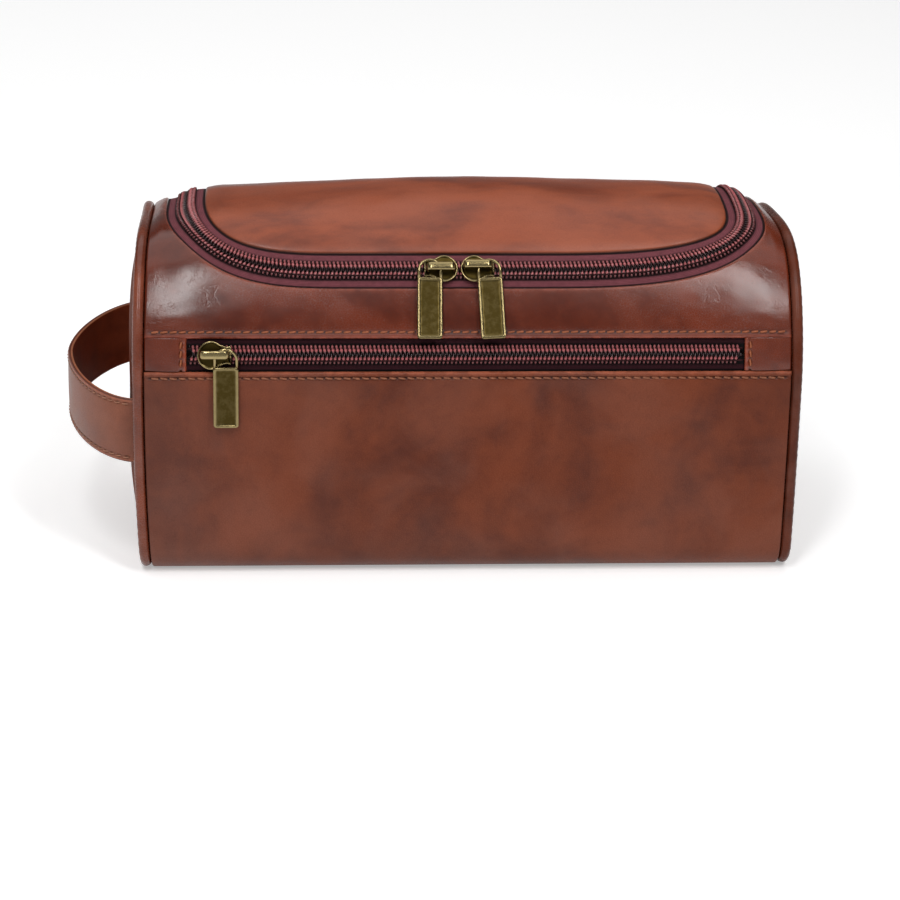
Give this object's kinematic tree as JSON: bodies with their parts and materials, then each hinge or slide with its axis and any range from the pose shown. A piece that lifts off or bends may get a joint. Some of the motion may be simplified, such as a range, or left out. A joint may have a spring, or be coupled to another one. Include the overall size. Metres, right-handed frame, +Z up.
{
  "type": "shaving kit bag",
  "caption": "Half-barrel leather toiletry bag with a U-shaped zip round its lid, a zipped front pocket with pull tabs and a carry strap on one end.",
  "frame": {"origin": "middle of the base panel's underside, on the surface the bag stands on", "axes": "+Z up, +X to the viewer's right along the bag's length, +Y to the back; the zipped pocket faces -Y"},
  "size_m": [0.2887, 0.1338, 0.141],
  "materials": {
    "brown_leather": "mottled brown leather, satin",
    "piping_leather": "brown leather over cord, satin",
    "strap_leather": "brown leather with painted edges, satin",
    "strap_back_leather": "dark brown leather, matt",
    "zip_tape": "woven polyester tape, burgundy",
    "zip_coil": "moulded nylon coil, burgundy",
    "antique_brass": "antique brass plating, darkened",
    "lining": "woven lining, dark brown",
    "padding": "soft foam padding",
    "base_board": "stiffener board"
  },
  "bodies": {
    "bag_body": {"base_panel": "brown_leather", "front_pocket_panel": "brown_leather", "front_yoke": "brown_leather", "back_panel": "brown_leather", "end_panel_left": "brown_leather", "end_panel_right": "brown_leather", "pocket_end_tab_left": "brown_leather", "pocket_end_tab_right": "brown_leather", "piping_left": "piping_leather", "piping_right": "piping_leather", "strap_end_front": "strap_leather", "strap_end_back": "strap_leather", "body_zip_tape": "zip_tape", "pocket_tape_upper": "zip_tape", "pocket_tape_lower": "zip_tape", "body_zip_coil": "zip_coil", "pocket_coil_upper": "zip_coil", "pocket_coil_lower": "zip_coil", "hinge_strip": "lining", "lining_front": "lining", "lining_base": "lining", "lining_back": "lining", "lining_end_left": "lining", "lining_end_right": "lining", "pocket_lining": "lining", "front_padding": "padding", "back_padding": "padding", "end_padding_left": "padding", "end_padding_right": "padding", "base_board": "base_board"},
    "lid": {"lid_panel": "brown_leather", "lid_padding": "padding", "lid_lining": "lining", "lid_zip_tape": "zip_tape", "lid_zip_coil": "zip_coil"},
    "slider_left": {"main_slider_left": "antique_brass"},
    "slider_right": {"main_slider_right": "antique_brass"},
    "slider_pocket": {"pocket_slider": "antique_brass"},
    "pull_left": {"main_pull_left": "antique_brass"},
    "pull_right": {"main_pull_right": "antique_brass"},
    "pull_pocket": {"pocket_pull": "antique_brass"},
    "strap_loop": {"strap_loop_outer": "strap_leather", "strap_loop_inner": "strap_back_leather"}
  },
  "joints": [
    {"name": "lid_hinge", "type": "hinge", "parent": "bag_body", "child": "lid", "pos_m": [0, 0.05325, 0.11328], "axis": [-1, 0, 0], "range_deg": [0, 120], "deforming": ["lid_zip_tape", "lid_zip_coil", "hinge_strip"]},
    {"name": "main_slider_left_run", "type": "slide", "parent": "bag_body", "child": "slider_left", "axis": [-1, 0, 0], "range_m": [0, 0.04]},
    {"name": "main_slider_right_run", "type": "slide", "parent": "bag_body", "child": "slider_right", "axis": [1, 0, 0], "range_m": [0, 0.035]},
    {"name": "pocket_slider_run", "type": "slide", "parent": "bag_body", "child": "slider_pocket", "axis": [1, 0, 0], "range_m": [0, 0.193]},
    {"name": "main_pull_left_swing", "type": "hinge", "parent": "slider_left", "child": "pull_left", "pos_m": [-0.0152, -0.05029, 0.12176], "axis": [0, -0.8453, 0.5344], "range_deg": [-70, 10]},
    {"name": "main_pull_right_swing", "type": "hinge", "parent": "slider_right", "child": "pull_right", "pos_m": [0.00744, -0.05029, 0.12176], "axis": [0, -0.8453, 0.5344], "range_deg": [-10, 70]},
    {"name": "pocket_pull_swing", "type": "hinge", "parent": "slider_pocket", "child": "pull_pocket", "pos_m": [-0.0928, -0.06628, 0.09118], "axis": [0, -0.9987, 0.0506], "range_deg": [-10, 70]},
    {"name": "strap_swing", "type": "hinge", "parent": "bag_body", "child": "strap_loop", "pos_m": [-0.12743, 0, 0.0585], "axis": [0, 1, 0], "range_deg": [-25, 25], "stiffness_Nm_per_rad": 0.15}
  ]
}
